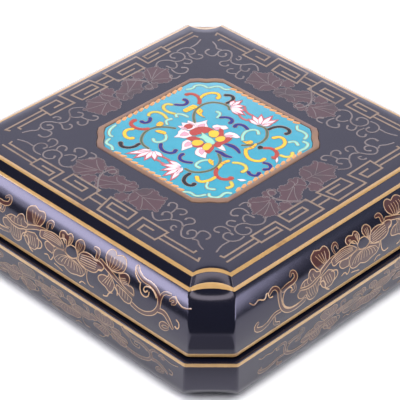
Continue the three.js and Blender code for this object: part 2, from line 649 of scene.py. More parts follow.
sideNames = ("front", "right", "back", "left")


def layOn(piece, surface, lift, material, slot="black_lacquer", sides=4, sway=brush["sway"], seed=0):
    # one copy on every side, each drawn with its own slight unsteadiness
    name = piece.name
    for k in range(sides):
        bpy.ops.object.select_all(action="DESELECT")
        piece.select_set(True)
        bpy.context.view_layer.objects.active = piece
        if k < sides - 1:
            bpy.ops.object.duplicate()
        side = bpy.context.object
        for vert in side.data.vertices:
            x, y, z = (c / mm for c in vert.co)
            where = Vector((x * brush["swayRate"], y * brush["swayRate"], seed + k * brush["sideSeed"]))
            shift = noise.noise_vector(where) * sway
            spot = surface(x + shift.x, y + shift.y, z + lift)
            vert.co = quarterTurns[k] @ Vector(spot) * mm
        finishPiece(f"{name}_{sideNames[k]}" if sides > 1 else name, material, slot)
        smooth()


def paintFinish(name, colour, worn, metal, wear):
    shader = Shader(name, Coat_Weight=1.0, Coat_Roughness=0.1, Coat_IOR=1.55, Specular_IOR_Level=0.1)
    cloud = shader.noise(300, 3)
    rubbed = shader.ramp(shader.noise(90, 4), *wear)
    clouded = shader.mix(cloud, (*colour, 1), (*[c * 0.72 for c in colour], 1))
    shader.set("Base Color", shader.mix(rubbed, clouded, (*worn, 1)))
    shader.set("Metallic", metal * (1 - rubbed))
    shader.set("Roughness", 0.42 + cloud * 0.15)
    return shader.material


paints = {
    # the paint, what it wears to, its share of metal, and the noise between which it is worn
    "gold_line": ((0.46, 0.28, 0.11), (0.2, 0.11, 0.05), 0.4, (0.6, 0.75)),
    "fret_line": ((0.21, 0.14, 0.092), (0.1, 0.06, 0.04), 0.3, (0.52, 0.72)),
    "scroll_line": ((0.42, 0.26, 0.14), (0.14, 0.07, 0.04), 0.3, (0.52, 0.72)),
    "tendril_line": ((0.13, 0.1, 0.095), (0.06, 0.04, 0.04), 0.3, (0.5, 0.7)),
    "leaf_wash": ((0.038, 0.005, 0.011), (0.018, 0.004, 0.008), 0, (0.45, 0.75)),
    "side_wash": ((0.05, 0.013, 0.011), (0.018, 0.008, 0.01), 0, (0.45, 0.75)),
    "base_line": ((0.2, 0.12, 0.07), (0.1, 0.055, 0.035), 0.2, (0.5, 0.7)),
}
paint = {name: paintFinish(name, *values) for name, values in paints.items()}


# Gold lines round the edges

goldSize = {
    "over": 0.035,           # how far the bands stand over the lacquer, and where their edges end under it
    "under": -0.12,
    "deck": (0.35, 0.6, 0.9, 1.2, 1.5, 1.9, 2.1),      # distances in from the deck's edge
    "bevel": (0.82, 1),      # shares of the bevel's width
    "shoulder": (0.985, 0.97),      # shares of the rounded side's angle
    "lidFoot": (22.95, 24.6),       # heights
    "baseTop": (19.35, 21.05),
    "bevelLean": (0.62, 0.785),     # the way the bevel faces, out and up
}


def bevelRing(share, lift):
    size = lidSize
    half = size["deckHalf"] + (size["bevelHalf"] - size["deckHalf"]) * share
    edgeZ = deckHeight(0)
    z = edgeZ - (edgeZ - deckZ + size["bevelDrop"]) * share
    cut = size["deckNotch"] + (size["bevelNotch"] - size["deckNotch"]) * share
    out, up = goldSize["bevelLean"]
    return outline(half + lift * out, cut, 1, z + lift * up)


def uprightRing(half, cut, z, lift):
    return outline(half + lift, cut, 0, z)


def goldBand(name, courses):
    # a course is a function for an outline and what it takes before the height above the lacquer
    over, under = goldSize["over"], goldSize["under"]
    lifted = [(*courses[0], under)] + [(*course, over) for course in courses] + [(*courses[-1], under)]
    stackRings([ring(*values) for ring, *values in lifted], closed=True)
    finishPiece(name, paint["gold_line"], "black_lacquer")
    smooth()


print("gold lines")
goldBand("deck_edge_line", [(deckRing, inward) for inward in goldSize["deck"]])
goldBand("bevel_foot_line", [(bevelRing, share) for share in goldSize["bevel"]]
         + [(shoulderRing, math.pi / 4 * share) for share in goldSize["shoulder"]])
goldBand("lid_foot_line", [(uprightRing, lidHalf, skirtCutAt(z), z) for z in goldSize["lidFoot"]])
goldBand("base_top_line", [(uprightRing, baseHalf, baseSize["cut"], z) for z in goldSize["baseTop"]])


# Key fret round the deck

fret = {
    "width": 0.95,
    "thick": 0.03,
    "lift": 0.02,
    "seed": 3,
    "rolled": (-70.5, -66),      # the part that follows the roll of the deck's edge
    "lines": [
        [(-24.5, -61.6), (-24.5, -70), (-3.7, -70), (-4.1, -60.2), (-20.5, -60.2), (-20.5, -66),
         (-9, -66), (-9, -63), (-17, -63)],
        [(-24.98, -62), (-38.9, -62), (-38.9, -67.8), (-27, -67.8), (-27, -65), (-34.5, -65)],
        [(-39.4, -63.9), (-56.8, -63.9), (-57.2, -62)],
        [(-39.4, -66.7), (-58.4, -66.7)],
        [(-3.5, -62.9), (2.6, -62.9)],
        [(-3.5, -66.8), (3.6, -66.8)],
        [(22, -60.3), (23, -70.1), (5, -70.3), (2.7, -60.3), (18, -60.3), (18.8, -66.4), (6.5, -66.4),
         (6, -62.9), (14.5, -62.9)],
        [(22.6, -60.8), (36.5, -60.8), (36.2, -68), (26.5, -68), (26, -64), (31.5, -64)],
        [(36.9, -63.3), (53.2, -63.3), (53.2, -61.4)],
        [(36.8, -66.1), (58.2, -66.1), (57.2, -63.9)],
    ],
}
print("fret")
fretShapes = [mitred(line, fret["width"]) for line in fret["lines"]]
piece = drawShapes("key_fret", fretShapes, fret["thick"], 1, "VECTOR")
sliceAcross(*fret["rolled"])
layOn(piece, onDeck, fret["lift"], paint["fret_line"], seed=fret["seed"])


# Tendrils and leaf sprays on the deck

tendrils = [
    [(22, -55.5), (27, -58.2), (31, -54), (35, -52), (38, -54), (40, -57), (43, -58.8), (46, -56.5),
     (45.5, -53.5), (43, -52.3), (41.5, -54.5), (42.8, -56, 1.5)],
    [(31, -54), (30.5, -52.5), (27.5, -50.5), (25.5, -52), (26.3, -54, 1.5)],
    [(28, -50.5), (27, -46), (25, -44.3), (22.7, -45.5), (23.5, -47.5, 1.5)],
    [(27.3, -47), (30, -44.8), (32.3, -45.5), (32.5, -47.5), (31.5, -48.5, 1.5)],
    [(38, -54), (38, -52), (39.5, -48.5), (37, -47), (35.3, -48.2), (35.3, -49.5, 1.5)],
    [(45.5, -53), (45.3, -50.5), (48, -49.3), (50.5, -50.5), (50.7, -53, 1.6)],
    [(46.5, -57), (48.5, -56.2), (51, -57.8), (54.5, -59)],
    [(36.5, -56), (35, -55.7), (35.3, -58), (37, -58.5, 1.4)],
    [(-25, -57), (-28.5, -59.3), (-32.5, -57.5), (-34.5, -54), (-38, -53), (-41, -55.5), (-40.5, -59),
     (-37, -60), (-35.3, -58), (-36, -56.5, 1.5)],
    [(-33.5, -53.5), (-32, -51), (-29.5, -50.5), (-28.5, -54, 1.4)],
    [(-28, -50.5), (-27.5, -47), (-29, -44.8), (-32, -44.5), (-34, -46.5), (-32.5, -48.5, 1.5)],
    [(-27, -44), (-24, -44), (-22.8, -46), (-24.5, -47.5, 1.5)],
    [(-39, -53), (-40, -49.5), (-37.5, -48.5), (-36, -50.5, 1.4)],
    [(-41, -60), (-45, -60), (-47.8, -57), (-46.5, -53.5), (-43.5, -54), (-43.5, -56, 1.5)],
    [(-42.5, -53.8), (-42, -50.5), (-44, -48), (-46.8, -48.8), (-46.3, -51, 1.4)],
    [(-48, -58), (-52, -58), (-56.5, -59.5)],
    [(-12.6, -50.5), (-12.2, -47), (-10.4, -45.4), (-8.9, -46.8), (-9.6, -48.6, 1.4)],
    [(-13, -50), (-11.4, -54), (-8, -58), (-4, -62)],
]
deckLeaves = [
    [(-27.5, -52), (-25, -49.5), (-24.5, -46.5), (-21.5, -44.2), (-19, -44), (-16.5, -45.6), (-14, -47.5),
     (-13.5, -51), (-15, -54.5), (-17, -57), (-20.5, -59.8), (-22.5, -58), (-26, -57.5), (-25, -54.5)],
    [(-13, -51.5), (-9, -51.2), (-7.5, -47.5), (-4.5, -46.2), (-1.5, -47.6), (1.5, -45.6), (5, -46.8),
     (6.5, -49.5), (4.5, -52.5), (2.5, -54.8), (-1, -55.3), (-4, -58), (-7.5, -60), (-11.3, -56.5)],
    [(5.5, -50), (8, -46), (10.5, -44), (13.5, -43.8), (16, -45.5), (19.5, -44), (21, -47.5), (22, -50.5),
     (23.5, -54), (19, -55.5), (17, -58.8), (12.5, -57.5), (8.5, -58), (7, -53.5)],
    [(-15.6, -47), (-13.2, -44.4), (-9.6, -44.6), (-7.6, -46.6), (-10.2, -48.8), (-13.2, -48.8)],
    [(-16.6, -56.2), (-13.2, -54.2), (-10.4, -56.6), (-11.6, -59.8), (-15.4, -60.6), (-17.2, -58.6)],
    [(3.4, -54.6), (6.6, -53.4), (8.8, -56.6), (7.6, -59.6), (4, -60.2), (2, -57.4)],
]

teeth = {
    "depth": 0.55,
    # shares along the edge and out of it, and which points are sharp
    "profile": ((0, 0, 1), (0.3, 0.4), (0.5, -1, 1), (0.75, 0.4)),
}


def toothed(shape):
    # small teeth along the edge of a leaf
    points = [Vector(spot) for spot in shape]
    jagged = []
    for start, end in zip(points, points[1:] + points[:1]):
        along = end - start
        side = Vector((-along.y, along.x)).normalized() * teeth["depth"]
        for share, out, *sharp in teeth["profile"]:
            jagged.append((*(start + along * share + side * out), *sharp))
    return jagged


deckVeins = [
    [(-26.5, -52.5), (-21, -52), (-14.5, -50)], [(-24, -55.5), (-20, -53.5), (-16, -51)],
    [(-21.5, -46), (-18.5, -48.5), (-15.5, -50)], [(-20.5, -58.5), (-18.2, -54.5), (-16, -51.5)],
    [(-10, -55), (-5, -52.5), (0, -50)], [(-7, -58.5), (-4.5, -54.5), (-1, -51)],
    [(-6.5, -48.5), (-4, -50.5), (0, -50)],
    [(1.5, -46.8), (1.2, -49), (0, -50)], [(4.5, -48), (2.5, -49.6), (0, -50)],
    [(3, -53.5), (2, -51.5), (0, -50)],
    [(22.5, -53.5), (15, -51.5), (7, -50.5)], [(20, -46), (15.5, -49), (12, -51)],
    [(11.5, -45), (12, -48.5), (10.5, -50.5)],
    [(17, -57.5), (15, -54.5), (12, -51.5)], [(10, -57), (11, -54), (10, -51.5)],
]
spray = {
    "washThick": 0.02,
    "washLift": 0.01,
    "thick": 0.03,
    "lift": 0.025,
    "seed": 5,
    # width, closed, steps along each stretch
    "deck_leaf_edges": (0.26, True, 3),
    "deck_leaf_veins": (0.3, False, 4),
    "deck_tendrils": (0.75, False, 4),
}
print("deck spray")
deckLeaves = [toothed(leaf) for leaf in deckLeaves]
piece = drawShapes("deck_leaves", deckLeaves, spray["washThick"], 3)
layOn(piece, onDeck, spray["washLift"], paint["leaf_wash"], seed=spray["seed"])
sprayLines = {"deck_leaf_edges": deckLeaves, "deck_leaf_veins": deckVeins, "deck_tendrils": tendrils}
for name, lines in sprayLines.items():
    width, closed, steps = spray[name]
    piece = drawStrokes(name, lines, width, spray["thick"], closed, steps)
    layOn(piece, onDeck, spray["lift"], paint["tendril_line"], seed=spray["seed"])


# Cloisonne panel: gilt wires and enamel, each colour at a height of its own

enamelColours = {
    "mint": ((0.244, 0.459, 0.37), (0.178, 0.4, 0.318)),
    "red": ((0.311, 0.044, 0.037), (0.244, 0.03, 0.026)),
    "yellow": ((0.577, 0.37, 0.033), (0.518, 0.296, 0.022)),
    "lemon": ((0.444, 0.37, 0.059), (0.37, 0.311, 0.052)),
    "cobalt": ((0.013, 0.016, 0.148), (0.009, 0.012, 0.104)),
    "black": ((0.007, 0.009, 0.013), (0.004, 0.005, 0.009)),
    "olive": ((0.063, 0.104, 0.056), (0.044, 0.074, 0.044)),
    "peach": ((0.45, 0.235, 0.1), (0.38, 0.175, 0.07)),
    "blush": ((0.577, 0.496, 0.525), (0.533, 0.4, 0.451)),
    "pink": ((0.488, 0.266, 0.333), (0.429, 0.192, 0.259)),
    "rust": ((0.42, 0.12, 0.03), (0.34, 0.08, 0.02)),
    "rose": ((0.385, 0.096, 0.126), (0.311, 0.059, 0.081)),
}
scrollWidth = {"mint": 1.15, "red": 1.6, "yellow": 1.5, "lemon": 1.4, "cobalt": 1.55, "black": 1.5,
               "olive": 1.0, "rose": 0.9, "rust": 0.42}
scrolls = {
    "mint": [
        [(-20, 35), (-21.5, 33.2), (-25, 33), (-27, 30.5), (-27.5, 28.8)],
        [(-28, 28.5), (-31, 28.3), (-33, 26), (-32.4, 23.5), (-33.5, 20.8)],
        [(21, 34.3), (23, 32.2), (26, 32.5), (29, 31.5), (30, 28.8)],
        [(31, 27), (33.5, 27), (35, 24), (34.9, 20.5), (36, 18.8)],
        [(35.8, -23), (34, -24.5), (34, -29), (31, -31), (29.5, -30)],
        [(29, -31.5), (27, -34.7), (23, -35), (21, -36.5)],
        [(-35, -22), (-34, -26), (-31, -29), (-29.5, -29)],
        [(-29, -31), (-28, -34), (-24, -34.5), (-22, -36)],
        [(-11.5, 17.5, 1.2), (-9.5, 17.3), (-8, 14)],
        [(13.5, 17.5, 1.2), (11, 19), (8.6, 16.5), (9.2, 12.3), (12, 9)],
        [(-17.6, 5.3), (-21, 4.8), (-22.5, 3), (-21, 1.8, 1.2)],
        [(-21.5, -1, 1.2), (-22, -3.5), (-19.5, -5.5)],
        [(-15.5, -11), (-12.5, -13), (-11.6, -15.8), (-13.5, -18.6), (-15.8, -17.7, 1.2)],
        [(14, -11.5), (11.5, -13), (10.3, -16), (11.2, -19), (13.6, -19.2, 1.2)],
        [(27, 22), (28.5, 24.2), (31.3, 23.3, 1.2)],
        [(23.5, -24.5), (26, -27.4), (29, -26, 1.2)],
    ],
    "black": [
        [(-18.3, 29.8, 1.2), (-16, 31.4), (-13.6, 30), (-13.2, 25.5)],
        [(14, 23.2), (15.3, 27.6), (19, 29.6), (22, 28), (21.8, 26, 1.3)],
        [(-17.4, -24.5), (-17.6, -28.5), (-21, -31.2), (-23.8, -29.6, 1.3)],
        [(13.5, -25), (14, -28.5), (17, -31.4), (20.3, -30.6), (20.2, -28.9, 1.3)],
    ],
    "yellow": [
        [(-24.5, 20), (-24.8, 24.7), (-22, 28), (-19.4, 27.2), (-18.7, 25.4, 1.2)],
        [(20, 19.8, 1.2), (21.8, 22.4), (25.4, 21.4), (27.2, 18), (26.6, 14.4)],
        [(17.6, 5.2), (20.5, 2.2), (24.5, 0.9), (28, 2.8), (28.3, 5.4, 1.2)],
        [(-27.5, -18.5), (-28.8, -21), (-26.5, -24.4), (-23.5, -24.8), (-22.3, -23.4, 1.2)],
        [(23, -19.4), (22.8, -23), (20.4, -26.2), (17.3, -24.7, 1.2)],
        [(18, 11, 0.8), (18.6, 7.5), (17.8, 5.4)],
        [(18.6, -6.5), (18, -9.5), (18.8, -12.5), (19.4, -14.2, 0.8)],
    ],
    "lemon": [
        [(-29.3, 7.3), (-31.3, 6), (-30.5, 3.2), (-27, 2), (-23.4, 3)],
        [(-23.2, -2.1), (-27, -0.9), (-30.3, -2), (-31.2, -4.6), (-30.2, -6.3)],
        [(20.8, -6.2), (24.2, -4.2), (27.8, -5.4), (28.4, -8.6, 1.2)],
        [(33.5, 17.4, 1.1), (34.8, 15), (33.4, 12.8), (31.2, 12.2)],
        [(30, -17.2), (32.4, -19), (32, -21.6, 1.2)],
    ],
    "red": [
        [(-30.8, 17.6, 1.2), (-29.8, 19.6), (-26.5, 20.3), (-23.5, 18.8), (-21.5, 16.5)],
        [(-32, -13, 1.3), (-31.4, -16), (-28, -17.2), (-24.5, -15.7), (-22.8, -13.6, 1.2)],
        [(22.4, 11.2), (25, 13.2), (28.5, 12.7), (30.6, 9.9), (30.6, 8.8, 1.7)],
        [(19, -14), (21, -17), (24, -18.6), (27.6, -17), (28.3, -14.9, 1.5)],
    ],
    "cobalt": [
        [(-28.7, 14.2, 1.3), (-26.6, 14), (-25.5, 11.5), (-28.4, 8.4)],
        [(-28.5, -7), (-26.9, -9), (-27.3, -11.4), (-29.2, -11.8, 1.3)],
        [(-1, 14.8, 1.2), (-1.7, 16.9), (-4.6, 17.5), (-7.3, 15)],
        [(2.4, 14.2, 1.2), (1.8, 16), (4.2, 17.6), (7.8, 16.8)],
        [(-10.8, -18), (-8.5, -20.3), (-5, -21), (-2.3, -19), (-3, -16.8, 1.2)],
        [(1.2, -16.8, 1.3), (1.7, -19), (4.2, -20.7), (8.6, -18.8)],
        [(30, 3), (32.5, 3.7), (34.8, 1.8), (33.6, -0.7, 1.2)],
        [(33.8, -3.8, 1.2), (34.3, -6), (32, -7.4), (30, -6.6)],
        [(8.6, 1.6, 0.8), (11, 2.4, 1.4), (14.5, 2.4, 1.2), (17.8, 1, 0.7)],
        [(9.6, -5, 0.8), (12, -4.6, 1.2), (15, -4.8, 1.2), (17.6, -3.8, 0.7)],
    ],
    "rust": [
        [(-22.8, 12.4), (-20.5, 12.8)], [(-22.9, 10.6), (-20.5, 11)], [(-22.8, 8.8), (-20.7, 9.2)],
        [(-17.6, 13.3), (-16.8, 11.7)], [(-15.8, 12.2), (-15.3, 10.8)], [(-23, -7), (-21, -6.8)],
        [(-22.8, -8.4), (-21.2, -8.2)], [(-17.6, -10.9), (-17.4, -12.3)], [(-15.8, -10.9), (-15.9, -11.9)],
        [(14.4, 10.9), (14.4, 8.7)], [(15.8, 10.6), (15.6, 8.9)], [(17.8, 9), (19, 9.2)],
        [(17.6, 7.4), (19, 7.4)],
        [(17.6, -8.6), (18.9, -8.4)], [(17.5, -10.4), (18.9, -10.2)], [(13.2, -11.4), (13.6, -12.7)],
        [(14.8, -12.1), (14.8, -13.4)],
    ],
    "olive": [
        [(-12, 4), (-16.6, 8), (-19.6, 14), (-19, 20), (-15, 23.6), (-10.6, 24), (-8.8, 22.6)],
        [(14.5, 6), (18, 10.5), (18.4, 16), (15.8, 20.6), (12, 23), (8.6, 22.2)],
        [(-15, -5), (-20, -8.6), (-22.3, -14), (-20.4, -20), (-16.4, -23.6), (-12, -24.3)],
        [(12, -6), (16, -9), (18, -14), (17, -19.6), (13.4, -23.4), (9.6, -24)],
    ],
    "rose": [
        [(-5.6, 29), (-3, 27), (0, 26.2), (1.6, 26.4)],
        [(-3, 22.6), (0, 21.4), (3, 22)],
        [(-4, -24.4), (0.5, -24.2)],
        [(-4.4, -28), (-1.8, -27.6)], [(-0.8, -28), (2, -27.8)],
    ],
}
sepals = {
    "yellow": [
        [(-22.8, 13.8, 1), (-20.4, 14.2), (-20.2, 11), (-20.6, 7.2, 1), (-22.6, 7.4), (-23, 10.6)],
        [(-18.8, 14, 1), (-16.4, 13.6), (-14.8, 11.2), (-11.6, 10.2, 1), (-14.6, 9.8), (-18, 11)],
        [(13.6, 9.4, 1), (15, 11.6), (16.6, 10.8, 1), (16, 8.6), (12.4, 8.2, 1)],
        [(-23.4, -6, 1), (-21.6, -5.8), (-20.4, -8), (-22, -9.8, 1), (-23.2, -8.2)],
        [(-18, -10.6, 1), (-15.4, -10.2), (-14.4, -11.6, 1), (-17, -12.6), (-19.6, -13, 1), (-19.2, -11.6)],
        [(11.8, -11.4, 1), (14, -11.6), (16.6, -13.8, 1), (14.4, -13.8), (12.4, -12.8)],
    ],
    "black": [[(20, 11.4, 1), (21.4, 11.6), (22.6, 10.6, 1), (21.4, 9), (20.2, 9.6)]],
    "blush": [
        [(31.2, 10.2, 1), (32.8, 9), (34.2, 6.6, 1), (32.4, 7.8)],
        [(30.6, -14, 1), (32, -12.4), (34, -11.8, 1), (32.6, -13.8)],
    ],
}
peony = {
    "blush": [
        [(-4.8, 7.6), (-4.2, 10, 1), (-2.8, 10.4), (-1, 12.1, 1), (1.4, 11.4, 1), (0.2, 8.6), (-2, 6.8)],
        [(3.4, 6.6), (3.6, 9.6, 1), (6, 10.6), (9.8, 10, 1), (9.2, 8.4), (7.4, 7.6, 1), (6, 5.6)],
        [(-12, 4.2, 1), (-10.8, 6.2), (-9.8, 9.6, 1), (-8.2, 7.4), (-5.8, 6, 1), (-6.8, 3), (-9.4, 1.8)],
        [(-9.6, 2.6), (-12, 3.8), (-15.6, 3.2, 1), (-14.2, 1.6, 1), (-16.3, 0, 1), (-14.2, -1.4, 1),
         (-15.6, -3.2, 1), (-12.2, -3.2), (-9.8, -1.8)],
        [(-8.4, -2.6), (-12.6, -3.8, 1), (-12.2, -6, 1), (-11, -7.4), (-10.4, -10.4, 1), (-8.8, -8.8),
         (-6.6, -7.6), (-5.6, -4.6)],
        [(-4.8, -7.6), (-5.2, -10.2, 1), (-4, -12), (-2.6, -13.4, 1), (-0.8, -15.6, 1), (-0.2, -12.4),
         (0.2, -9.4), (-2, -8)],
        [(3, -7.8), (3.2, -11), (5, -13.2, 1), (7.4, -13.2), (10.4, -12.2, 1), (9, -10.4), (7, -7.8)],
        [(7, 0), (9.2, -0.2), (12.8, -2.2, 1), (10, -2.8), (7, -2.2)],
    ],
    "red": [
        [(-9.2, 0.4), (-8, 3.8), (-5, 5.8), (-1.6, 5.4), (-3, 2), (-4.4, -0.8), (-5.6, -3.6), (-8.4, -3)],
        [(-6.4, -7.2, 1), (-5.4, -4.4), (-2.2, -2.8), (-1.4, -5.2), (-3.6, -7.2)],
        [(-1.4, 8.6, 1), (0, 9), (2.4, 7.2), (4.4, 4), (2.4, 2.6), (0.6, 5.6)],
        [(5.4, 3), (5.8, 6), (8, 7, 1), (8.6, 3.6), (8.2, 0.2), (8.6, -2.2), (5.6, -2.6), (5, 0.4)],
        [(5.4, -3), (7.2, -3.8), (9, -8.6, 1), (7.4, -9), (5.4, -7.2)],
        [(-0.6, -9.2), (2.6, -8.6), (3.2, -6), (2, -4.2), (0.6, -6)],
        [(-13.4, 1.4), (-11.6, 2), (-10.2, 0.2), (-11, -1.8), (-13.2, -1.6)],
    ],
    "yellow": [
        [(-2.8, 3.8), (-1.6, 6), (0.4, 6.2), (2, 4.4), (2, 2), (0, 1.2), (-1.4, 1.8)],
        [(3, 4), (4.6, 5.4), (6.3, 4), (6.2, 1.4), (4.4, 0.6), (3, 1.4)],
        [(-2.6, -6.4), (-1.4, -4.4), (0.8, -3.8), (1.9, -5.6), (1.2, -8), (-0.8, -8.8)],
        [(3, -3.2), (5, -2.8), (6.3, -5), (6.4, -7.8), (4.6, -8), (3, -6)],
    ],
    "pink": [
        [(-3.6, 6.9, 1), (-2.6, 8.6), (-1.4, 9.6, 1), (-0.8, 8.2), (-1.6, 6.6)],
        [(4.2, 6, 1), (5, 8), (6.8, 8.8, 1), (6.6, 7.2), (5.8, 5.6)],
        [(-9.6, 2.8, 1), (-9.4, 5), (-8.6, 6.6, 1), (-7.4, 5.4), (-6.8, 3.6)],
        [(-14.4, 2, 1), (-12.6, 2.8), (-10.4, 2.2, 1), (-12.4, 1.8)],
        [(-14.4, -2.4, 1), (-12.4, -2.8), (-10.4, -2, 1), (-12.4, -1.6)],
        [(-10.4, -4, 1), (-10.2, -6.2), (-9.4, -7.8, 1), (-8, -6.4), (-7.4, -4.4)],
        [(-3.8, -8.4, 1), (-3.4, -10.8), (-2, -12.4, 1), (-1.2, -10.4), (-1.4, -8.6)],
        [(3.6, -8.6, 1), (5, -10.8), (7.4, -11.6, 1), (6.8, -9.6), (6, -8.2)],
    ],
    "mint": [
        [(-4.8, 0.8, 1), (-2.6, 0.8), (0, 0.6), (3, 0.2), (5.4, -1.4), (4.8, -3), (2, -3.4), (-0.6, -2.6),
         (-4.2, -3.6, 1), (-2.8, -1.4)],
    ],
}
lotuses = [
    # where the flower sits, and the tips of its petals
    ((-10.6, 24.2),
     [(-12.2, 29.4), (-9.9, 31.6), (-6.2, 29.2), (-3.4, 26.6), (-1.2, 24.2), (-3, 22.4)]),
    ((9.6, 22.4),
     [(2.6, 23), (1.8, 26.4), (4.2, 29.4), (8.2, 32), (11.8, 31.4), (12.2, 27.2)]),
    ((-9.6, -23.6),
     [(-3.2, -24.6), (-3.8, -28.6), (-7, -31.4), (-11.2, -33.4), (-15.6, -33.4), (-13.8, -28.4)]),
    ((8.2, -23.6),
     [(0.6, -24.8), (1, -28.8), (3.6, -31.6), (7, -34), (11.4, -34.2), (9.8, -28.4)]),
]
lotusShape = {
    # width, then where it starts and ends along the way from the base to a tip
    "cup": (2.5, 0.2, 1.1),
    "petal": (1.9, 0.12, 0.93),
    "streakReach": 0.78,
    "streakStops": (0.2, 0.6),
}
ropeBorder = {"count": 12, "pitch": 3.45, "reach": 36.0, "length": 2.1, "slant": 0.9, "width": 1.7}
enamelSize = {
    "sway": 0.12,
    "cellThick": 0.06,
    "scrollThick": 0.05,
    "wire": 0.26,
    "wireThick": 0.07,
    "scrollWire": 0.5,       # how much wider a scroll's wire is than the scroll
    "scrollWireThick": 0.03,
    "streak": 0.4,
    "borderThick": 0.14,
    # heights above the ground
    "cells": {"blush": 0.0, "pink": 0.02, "rose": 0.03, "red": 0.03, "yellow": 0.05, "mint": 0.06,
              "black": 0.06},
    "scrolls": {"olive": 0.01, "rust": 0.08},
    "otherScrolls": 0.03,
    "lotusPetals": 0.055,
    "lotusStreaks": 0.07,
    "overLevel": 0.01,       # enamel above its level, and the wires round cells a little more
    "wireOverLevel": 0.015,
}


def petal(base, tip, width, start, end):
    # a leaf-shaped cell on the way between two points, from one share of it to another
    base, tip = Vector(base), Vector(tip)
    along = tip - base
    side = Vector((-along.y, along.x)).normalized() * width / 2
    near, middle, far = (base + along * share for share in (start, (start + end) / 2, end))
    return [(*near, 1), (*(middle + side), ), (*far, 1), (*(middle - side), )]


def lotusParts():
    # the rose cups, the blush petals in them, and the streaks between the petals
    cups, petals, streaks = [], [], []
    for base, tips in lotuses:
        base = Vector(base)
        for tip, following in zip(tips, tips[1:]):
            between = base.lerp((Vector(tip) + Vector(following)) / 2, lotusShape["streakReach"])
            stops = [base.lerp(between, share) for share in lotusShape["streakStops"]]
            streaks.append([tuple(spot) for spot in (*stops, between)])
        cups += [petal(base, tip, *lotusShape["cup"]) for tip in tips]
        petals += [petal(base, tip, *lotusShape["petal"]) for tip in tips]
    return cups, petals, streaks


def ropeStrokes():
    # short slanted strokes, side by side along the four edges
    half, slant = ropeBorder["length"] / 2, ropeBorder["slant"] / 2
    strokes = []
    for turn in quarterTurns:
        for k in range(ropeBorder["count"]):
            along = (k - (ropeBorder["count"] - 1) / 2) * ropeBorder["pitch"]
            ends = [Vector((along + way * half, ropeBorder["reach"] + way * slant, 0)) for way in (-1, 1)]
            strokes.append([tuple((turn @ end).xy) for end in ends])
    return strokes


def makeEnamel():
    size = enamelSize
    finish = {name: enamelFinish(f"{name}_enamel", *pair) for name, pair in enamelColours.items()}

    def flush(x, y, lift):
        return x, y, deckZ + rimSize["panelStand"] + lift

    def lay(piece, lift, material, slot="enamel"):
        layOn(piece, flush, lift, material, slot, sides=1, sway=size["sway"])

    cups, petals, streaks = lotusParts()
    cells = {name: [*peony.get(name, ()), *sepals.get(name, ())] for name in enamelColours}
    cells["rose"] = cups
    for name, shapes in cells.items():
        if shapes:
            level = size["cells"][name]
            piece = drawShapes(f"{name}_cells", shapes, size["cellThick"])
            lay(piece, size["overLevel"] + level, finish[name])
            piece = drawStrokes(f"{name}_cell_wires", shapes, size["wire"], size["wireThick"], closed=True)
            lay(piece, size["wireOverLevel"] + level, gilt, "gilt_metal")
    for name, lines in scrolls.items():
        level = size["scrolls"].get(name, size["otherScrolls"])
        if name != "rust":       # fine hatching, without a wire
            width = scrollWidth[name] + size["scrollWire"]
            piece = drawStrokes(f"{name}_scroll_wires", lines, width, size["scrollWireThick"])
            lay(piece, level, gilt, "gilt_metal")
        piece = drawStrokes(f"{name}_scrolls", lines, scrollWidth[name], size["scrollThick"])
        lay(piece, level + size["overLevel"], finish[name])
    lay(drawShapes("lotus_petals", petals, size["scrollThick"]), size["lotusPetals"], finish["blush"])
    piece = drawStrokes("lotus_streaks", streaks, size["streak"], size["scrollThick"])
    lay(piece, size["lotusStreaks"], finish["rose"])
    piece = drawStrokes("rope_border", ropeStrokes(), ropeBorder["width"], size["borderThick"], steps=3)
    lay(piece, 0.0, finish["peach"])


print("enamel")
makeEnamel()


# Scrolling flowers on the sides, drawn once for the lid and again, squatter, for the base

